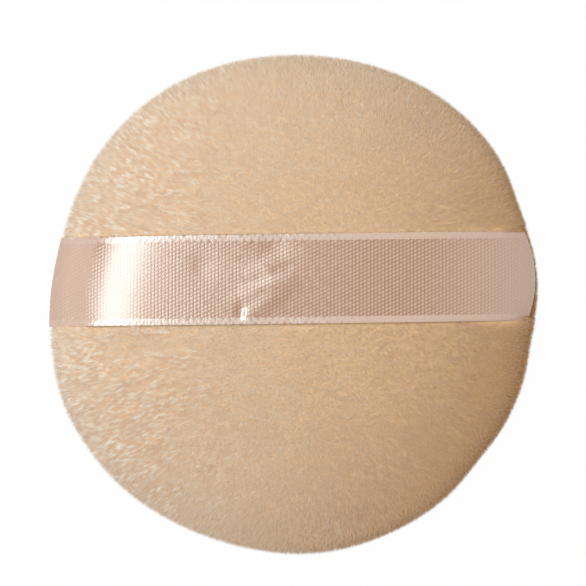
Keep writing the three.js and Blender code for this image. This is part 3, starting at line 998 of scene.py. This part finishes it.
def ribbon_half_line(across, side, steps=160, fold_steps=8):
    """From the ribbon's middle out over the back, round the rim and into the seam: (x, z) points."""
    s = sizes()
    reach = rim_reach(across, side)
    rise = back_rise()
    drawn_in = 1 - right_tuck(across) / reach if side > 0 else 1.0
    fold_turn = dome_turn(s.ribbon_fold, rise, s.back_fullness)
    points = []
    for i in range(steps + 1):
        turn = math.pi / 2 + (fold_turn - math.pi / 2) * i / steps
        x = side * dome_point(turn, reach, rise, s.back_fullness)[0]
        height = back_height(x, across + RIBBON_SKEW * x) - ribbon_sink(x, across)
        points.append((x * drawn_in, height))
    wall = abs(points[-1][0])
    low = points[-1][1] - s.ribbon_fold
    for i in range(1, fold_steps + 1):
        turn = math.pi / 2 * (1 - i / fold_steps)
        points.append((side * (wall - s.ribbon_fold * (1 - math.sin(turn))),
                       low + s.ribbon_fold * (1 - math.cos(turn))))
    tail_end = reach - (s.pile_depth + s.ground) - s.allowance
    points.append((side * tail_end, low))
    return points


def along_line(points, distances):
    """Points at these distances along a line, with the line's direction there."""
    found = []
    walked = 0.0
    index = 0
    gap = math.dist(points[0], points[1])
    for distance in distances:
        while distance > walked + gap and index + 2 < len(points):
            walked += gap
            index += 1
            gap = math.dist(points[index], points[index + 1])
        share = (distance - walked) / gap
        (ax, az), (bx, bz) = points[index], points[index + 1]
        found.append(((ax + (bx - ax) * share, az + (bz - az) * share), ((bx - ax) / gap, (bz - az) / gap)))
    return found


def crease_rise(x, y):
    """How far the ribbon's slack creases, arches cut off at both ends, lift it at a point of the plan."""
    rise = 0.0
    cut = 0.1
    for (ax, ay), (bx, by), width, height in RIBBON_CREASES:
        run_x, run_y = bx - ax, by - ay
        share = ((x / MM - ax) * run_x + (y / MM - ay) * run_y) / (run_x * run_x + run_y * run_y)
        held = min(1.0, max(0.0, share))
        away = math.hypot(x / MM - ax - held * run_x, y / MM - ay - held * run_y)
        arch = math.sin(math.pi * (cut + (1 - 2 * cut) * held))
        rise += height * MM * arch * math.exp(-((away / width) ** 2))
    return rise


def weave_rise(along, aside):
    """Height of the ribbon's floats, and of the looped cord along each edge."""
    s = sizes()
    depth = min(aside, s.ribbon_width - aside) / s.selvedge
    if depth < 1:
        zigzag = abs((along / s.pick + 1) % 2 - 1)
        return s.cord * max(0.0, 1 - abs(zigzag - depth) / LOOP_REACH)
    picks = math.pi * along / s.pick
    rows = math.pi * (aside - ROW_SLANT * along) / s.row
    return s.float_height * abs(math.sin(picks) * math.sin(rows)) ** RELIEF_POWER


def ribbon_piece(material):
    """The woven ribbon, from tail to tail, with its weave in relief."""
    s = sizes()
    rows = 84
    columns_each = 260
    half = min(
        sum(math.dist(a, b) for a, b in zip(line, line[1:]))
        for line in (ribbon_half_line(RIBBON_OFFSET, side) for side in (-1, 1))
    )
    step = half / columns_each
    distances = [step * i for i in range(columns_each + 1)]
    first = RIBBON_OFFSET - s.ribbon_width / 2
    bm = bmesh.new()
    bmesh.ops.create_grid(bm, x_segments=2 * columns_each, y_segments=rows, size=0.5)
    weave = bm.loops.layers.uv.new("weave")
    lines = []
    for j in range(rows + 1):
        across = first + s.ribbon_width * j / rows
        lines.append({side: along_line(ribbon_half_line(across, side), distances) for side in (-1, 1)})
    bm.verts.index_update()
    flat = {}
    for vert in bm.verts:
        column = round((vert.co.x + 0.5) * 2 * columns_each) - columns_each
        j = round((vert.co.y + 0.5) * rows)
        side = -1 if column < 0 else 1
        (x, z), (run_x, run_z) = lines[j][side][abs(column)]
        aside = s.ribbon_width * j / rows
        along = half + column * step
        y = first + aside + RIBBON_SKEW * x
        if j in (0, rows):
            y += math.copysign(s.scallop * math.cos(math.pi * along / s.pick), 1 - j)
        lift = crease_rise(x, y) + weave_rise(along, aside) + s.ribbon_thickness / 2
        normal = Vector((-run_z * side, 0, run_x * side))
        flat[vert.index] = (along, aside)
        vert.co = Vector((x, y, z)) + normal * lift
    for face in bm.faces:
        for loop in face.loops:
            loop[weave].uv = flat[loop.vert.index]
    bm.normal_update()
    bmesh.ops.solidify(bm, geom=bm.faces, thickness=s.ribbon_thickness)
    return new_piece("ribbon", bm, material), 2 * half


# Foam


def foam_piece(material):
    """The sponge disc, open-celled, closed round the turned-in cloth by a groove."""
    s = sizes()
    clearance = 0.1 * MM
    groove_room = 1.2 * MM
    low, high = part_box("foam_core")
    radius = s.rim_radius - s.pile_depth - s.ground - s.seam_gap - clearance
    groove = s.seam_gap / 2 + s.allowance_thickness + groove_room
    inner = radius - s.allowance - groove_room
    upper = dome_points(radius, high.z - SEAM, s.back_fullness, groove, high.z - SEAM, steps=30)
    lower = dome_points(radius, SEAM - low.z, s.face_fullness, groove, SEAM - low.z, steps=30)
    bottom = [(r, SEAM - level) for r, level in lower]
    top = [(r, SEAM + level) for r, level in upper]
    bm = spun([*bottom[::-1], (inner, SEAM - groove), (inner, SEAM + groove), *top], turns=168)
    lump(bm)
    pit(bm, spacing=2.2 * s.foam_cell, depth=0.3 * MM, steepness=1.6)
    return new_piece("foam_disc", bm, material)


def pit(bm, spacing, depth, steepness):
    """Sinks the mouths of open cells in a skin."""
    bm.normal_update()
    for vert in bm.verts:
        nearest = noise.voronoi(vert.co / spacing)[0][0]
        vert.co -= vert.normal * depth * max(0.0, 1 - steepness * nearest)


# Operators


class PUFF_OT_covers(bpy.types.Operator):
    """Makes the two velour covers and their pile"""

    bl_idname = "puff.covers"
    bl_label = "Velour covers"

    def execute(self, context):
        ground = velour_ground_material()
        pile = velour_pile_material()
        strand = strand_object(pile)
        group = pile_group()
        for side, density in ((back_side(), sizes().back_strands), (face_side(), sizes().face_strands)):
            cover = cover_piece(side, ground)
            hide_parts(side.node)
            for piece in (cover, *pile_pieces(side, strand, group, density, pile)):
                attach(piece, "pad")
        bpy.data.objects.remove(strand)
        return {"FINISHED"}


class PUFF_OT_foam(bpy.types.Operator):
    """Makes the sponge disc inside the covers"""

    bl_idname = "puff.foam"
    bl_label = "Foam disc"

    def execute(self, context):
        disc = foam_piece(foam_material())
        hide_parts("foam_core")
        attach(disc, "pad")
        return {"FINISHED"}


class PUFF_OT_ribbon(bpy.types.Operator):
    """Makes the satin ribbon, which bows up over the fingers with its ends in the seam"""

    bl_idname = "puff.ribbon"
    bl_label = "Ribbon band"

    def execute(self, context):
        ribbon, flat_length = ribbon_piece(satin_material())
        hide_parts("ribbon_band")
        top = RIBBON_HIGH.z
        bow = 5.5 * MM
        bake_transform(ribbon, "pad", "ribbon", start=(0, 0, top - bow), end=(0, 0, top))
        return {"FINISHED"}


class PUFF_OT_threads(bpy.types.Operator):
    """Finishes the seam's threads, whose solids stay"""

    bl_idname = "puff.threads"
    bl_label = "Seam threads"

    def execute(self, context):
        material = thread_material()
        for name in ("seam_thread", "closing_thread"):
            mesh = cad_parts[name].data
            mesh.materials.clear()
            mesh.materials.append(material)
        return {"FINISHED"}


class PUFF_OT_stage(bpy.types.Operator):
    """Sets the floor, the soft light from the left and the camera over the puff"""

    bl_idname = "puff.stage"
    bl_label = "Stage"

    def execute(self, context):
        scene = context.scene
        scene.view_settings.view_transform = "Standard"
        self.make_floor()
        self.make_world(scene)
        self.make_lights()
        self.make_camera(scene)
        return {"FINISHED"}

    def make_floor(self):
        drop = 0.2 * MM
        whiteness = 0.97
        bm = bmesh.new()
        bmesh.ops.create_grid(bm, x_segments=1, y_segments=1, size=2.0)
        bmesh.ops.translate(bm, verts=bm.verts, vec=(0, 0, -drop))
        material = bpy.data.materials.new("floor")
        tree = cleared(material)
        plain = node(tree, "ShaderNodeBsdfDiffuse", Color=(*colours().floor, 1)).outputs[0]
        white = node(tree, "ShaderNodeEmission", Color=(1, 1, 1, 1), Strength=1.0).outputs[0]
        path = node(tree, "ShaderNodeLightPath").outputs
        seen = maths(tree, "MAXIMUM", path["Is Camera Ray"], path["Is Glossy Ray"])
        seen = maths(tree, "MAXIMUM", seen, path["Is Transmission Ray"])
        share = times(tree, seen, whiteness)
        mixed = node(tree, "ShaderNodeMixShader", Fac=share, _1=plain, _2=white).outputs[0]
        node(tree, "ShaderNodeOutputMaterial", Surface=mixed)
        new_piece("floor", bm, material)

    def make_world(self, scene):
        world = bpy.data.worlds.new("studio")
        tree = cleared(world)
        light = node(tree, "ShaderNodeBackground", Color=(1, 0.96, 0.92, 1), Strength=0.89).outputs[0]
        white = node(tree, "ShaderNodeBackground", Color=(1, 1, 1, 1), Strength=1.0).outputs[0]
        seen = node(tree, "ShaderNodeLightPath").outputs["Is Camera Ray"]
        mixed = node(tree, "ShaderNodeMixShader", Fac=seen, _1=light, _2=white).outputs[0]
        node(tree, "ShaderNodeOutputWorld", Surface=mixed)
        scene.world = world

    def add_light(self, name, place, size, energy):
        light = bpy.data.lights.new(name, "AREA")
        light.shape = "RECTANGLE"
        light.size, light.size_y = size
        light.energy = energy
        lamp = linked(name, light)
        lamp.location = place
        lamp.rotation_euler = (-Vector(place)).to_track_quat("-Z", "Y").to_euler()
        return lamp

    def make_lights(self):
        self.add_light("key", place=(-0.14, 0.14, 0.62), size=(0.40, 0.40), energy=1.4)
        gloss = self.add_light("gloss", place=(-0.38, 0.12, 0.58), size=(0.80, 0.18), energy=108.0)
        gloss.visible_diffuse = False

    def make_camera(self, scene):
        camera = bpy.data.cameras.new("camera")
        eye = linked("camera", camera)
        target = Vector((-0.35 * MM, 1.9 * MM, 8 * MM))
        tilt = math.radians(3)
        distance = 0.7
        view_width = 100.6 * MM
        eye.location = target + distance * Vector((math.sin(tilt), 0, math.cos(tilt)))
        eye.rotation_euler = (0, tilt, 0)
        camera.sensor_width = 36
        camera.lens = camera.sensor_width * distance / view_width
        camera.clip_start = 0.01
        scene.camera = eye


class PUFF_PT_pieces(bpy.types.Panel):
    """Lists the puff's pieces and sizes"""

    bl_idname = "PUFF_PT_pieces"
    bl_label = "Powder puff"
    bl_space_type = "VIEW_3D"
    bl_region_type = "UI"
    bl_category = "Puff"

    def draw(self, context):
        for operator in OPERATORS:
            self.layout.operator(operator.bl_idname)
        for group in (context.scene.puff_sizes, context.scene.puff_colours):
            for name in group.__annotations__:
                self.layout.prop(group, name)


OPERATORS = (PUFF_OT_covers, PUFF_OT_foam, PUFF_OT_ribbon, PUFF_OT_threads, PUFF_OT_stage)
CLASSES = (PuffSizes, PuffColours, *OPERATORS, PUFF_PT_pieces)


def register():
    for each in CLASSES:
        bpy.utils.register_class(each)
    bpy.types.Scene.puff_sizes = PointerProperty(type=PuffSizes)
    bpy.types.Scene.puff_colours = PointerProperty(type=PuffColours)


def unregister():
    del bpy.types.Scene.puff_colours
    del bpy.types.Scene.puff_sizes
    for each in reversed(CLASSES):
        bpy.utils.unregister_class(each)


def main():
    register()
    bpy.ops.puff.stage()
    bpy.ops.puff.covers()
    bpy.ops.puff.foam()
    bpy.ops.puff.ribbon()
    bpy.ops.puff.threads()


if __name__ == "__main__":
    main()
